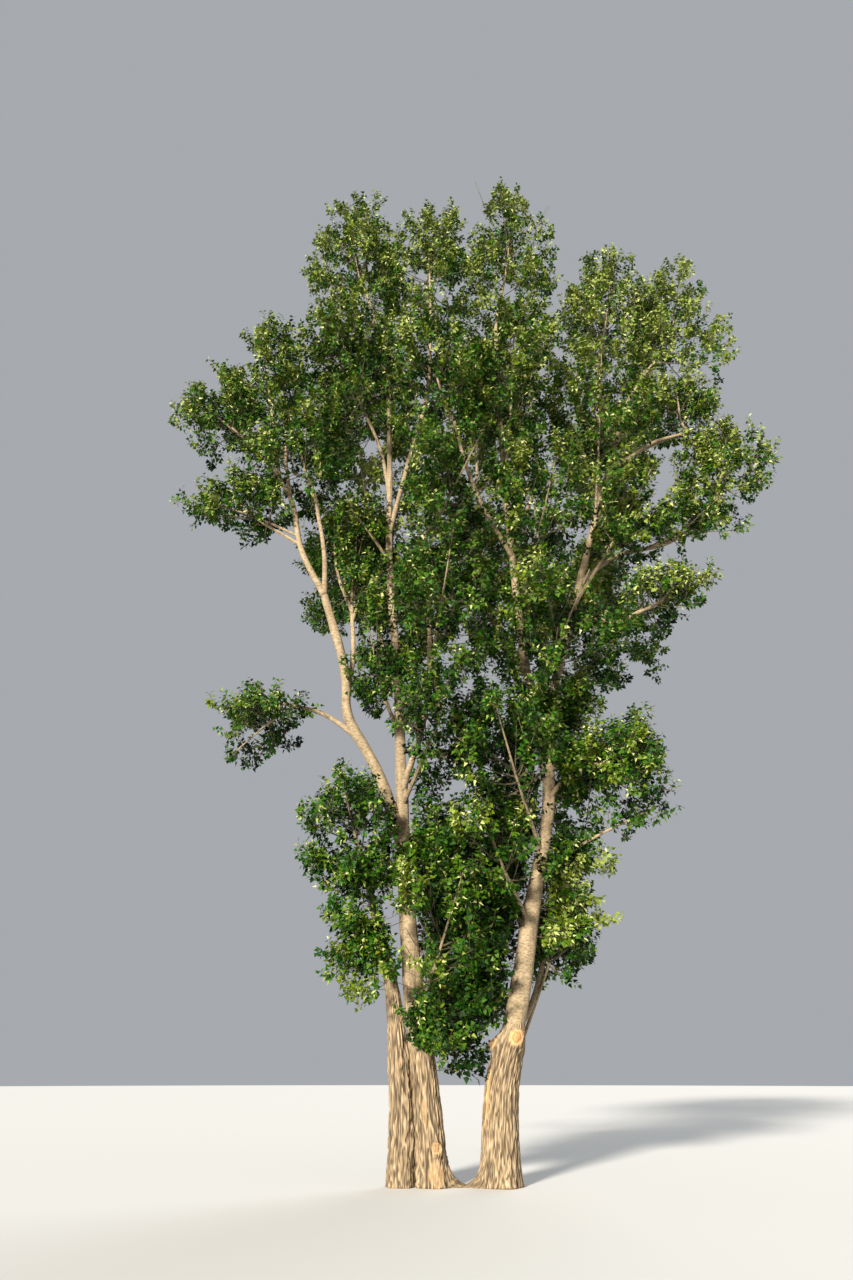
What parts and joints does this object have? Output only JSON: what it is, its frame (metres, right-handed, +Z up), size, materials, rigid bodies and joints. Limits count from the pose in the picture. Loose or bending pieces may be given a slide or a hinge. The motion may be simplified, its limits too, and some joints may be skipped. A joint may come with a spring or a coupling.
{
  "type": "poplar tree",
  "caption": "Tall poplar with several stems from one root, furrowed bark at the foot, rising smooth boughs and an open, ragged crown in full summer leaf.",
  "frame": {"origin": "middle of the flat ground cut under the right stem, which is the thickest", "axes": "+Z up, +X towards the side that the right stem leans to, -Y towards the side that the sun stands on"},
  "size_m": [14.5397, 9.0368, 26.0174],
  "materials": {
    "bark_furrowed": "rough, with deep upright furrows and pale ridges",
    "bark_smooth": "smooth pale grey-cream with short level pores",
    "leaves_low": "satin",
    "leaves_middle": "satin",
    "leaves_high": "satin"
  },
  "bodies": {
    "root": {"stem_right": "bark_furrowed", "stem_middle": "bark_furrowed", "stem_left": "bark_furrowed", "leader_inner": "bark_smooth", "leader_outer": "bark_smooth", "leader_outer_left": "bark_smooth", "bough_right_low": "bark_smooth", "bough_right_high": "bark_smooth", "bough_right_drooping": "bark_smooth", "bough_right_foot": "bark_smooth", "bough_left": "bark_smooth", "bough_left_outer": "bark_smooth", "bough_left_inner": "bark_smooth", "bough_left_back": "bark_smooth", "bough_left_low": "bark_smooth", "bough_middle_front": "bark_smooth", "bough_middle_left": "bark_smooth", "bough_middle_right": "bark_smooth", "bough_inner_left": "bark_smooth", "bough_back_left": "bark_smooth", "bough_back_middle": "bark_smooth", "bough_back_right": "bark_smooth", "foliage_top_left": "leaves_high", "foliage_top_middle": "leaves_high", "foliage_top_peak": "leaves_high", "foliage_top_right": "leaves_high", "foliage_top_right_outer": "leaves_high", "foliage_left_shoulder": "leaves_high", "foliage_left_outer": "leaves_high", "foliage_left_lateral": "leaves_middle", "foliage_left_inner": "leaves_middle", "foliage_left_gap": "leaves_middle", "foliage_left_stem": "leaves_middle", "foliage_left_low": "leaves_low", "foliage_left_under": "leaves_low", "foliage_upper_left": "leaves_high", "foliage_upper_middle": "leaves_high", "foliage_upper_centre": "leaves_high", "foliage_upper_right": "leaves_middle", "foliage_right_high": "leaves_high", "foliage_right_outer": "leaves_middle", "foliage_right_lateral": "leaves_middle", "foliage_right_inner": "leaves_middle", "foliage_right_drooping": "leaves_middle", "foliage_middle_high": "leaves_middle", "foliage_middle": "leaves_middle", "foliage_middle_low": "leaves_low", "foliage_right_stem_high": "leaves_middle", "foliage_fork": "leaves_middle", "foliage_right_stem": "leaves_low", "foliage_right_stem_low": "leaves_low", "foliage_right_foot": "leaves_low", "foliage_between_stems": "leaves_low", "foliage_sucker": "leaves_low", "foliage_back_left_high": "leaves_high", "foliage_back_left": "leaves_middle", "foliage_back_middle_high": "leaves_high", "foliage_back_middle": "leaves_middle", "foliage_back_right_high": "leaves_high", "foliage_back_right": "leaves_middle"}
  },
  "joints": []
}
